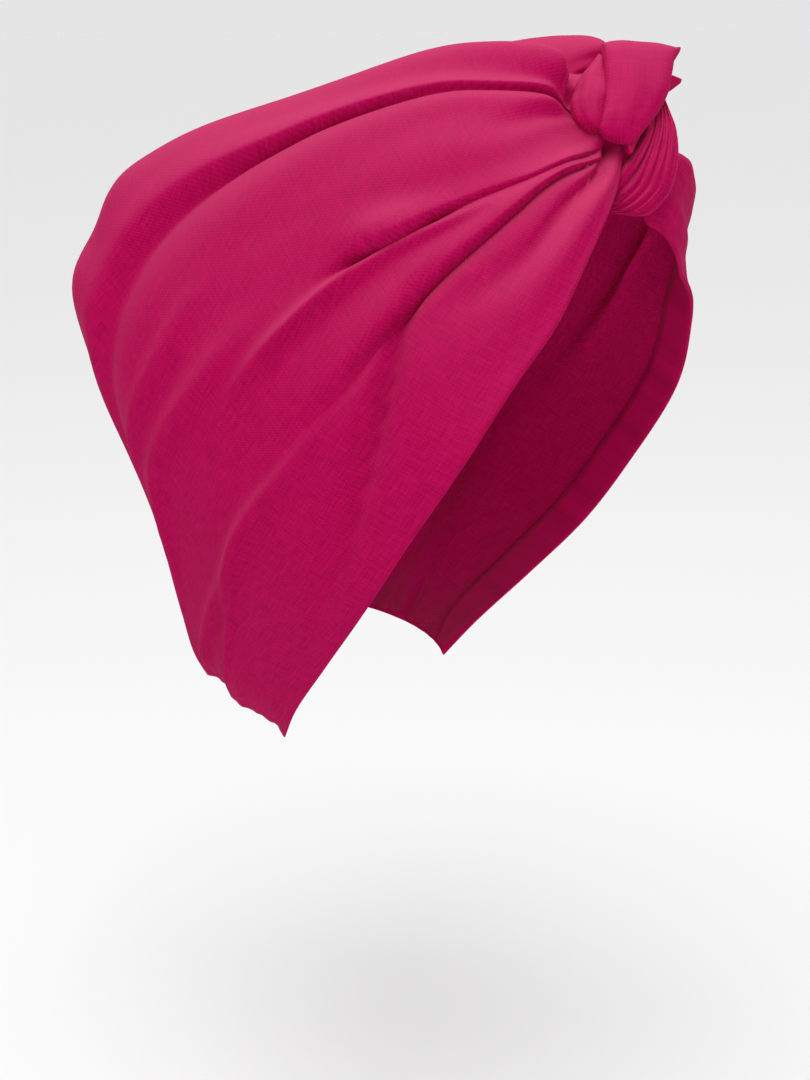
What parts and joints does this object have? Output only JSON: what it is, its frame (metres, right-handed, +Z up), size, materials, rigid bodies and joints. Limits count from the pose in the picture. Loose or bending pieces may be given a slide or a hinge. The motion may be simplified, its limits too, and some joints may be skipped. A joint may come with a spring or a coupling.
{
  "type": "turban headwrap",
  "caption": "Hot-pink cotton turban headwrap: a deep open crown with folds that fan out from a knot above the forehead, and short tail ends.",
  "frame": {"origin": "middle of the hollow that fits over the hair, 118 mm below the top of the crown between its two rolls", "axes": "+Z up; -Y the way the wearer faces, so the knot is at -Y and +Z; +X the wearer's left"},
  "size_m": [0.1507, 0.2226, 0.2266],
  "materials": {
    "crown_wrap": "matte plain-weave cotton",
    "knot_over_strand": "matte plain-weave cotton",
    "knot_under_strand": "matte plain-weave cotton",
    "tail_upper": "matte plain-weave cotton",
    "tail_lower": "matte plain-weave cotton"
  },
  "bodies": {
    "root": {"crown_wrap": "crown_wrap", "knot_over_strand": "knot_over_strand", "knot_under_strand": "knot_under_strand", "tail_upper": "tail_upper", "tail_lower": "tail_lower"}
  },
  "joints": []
}
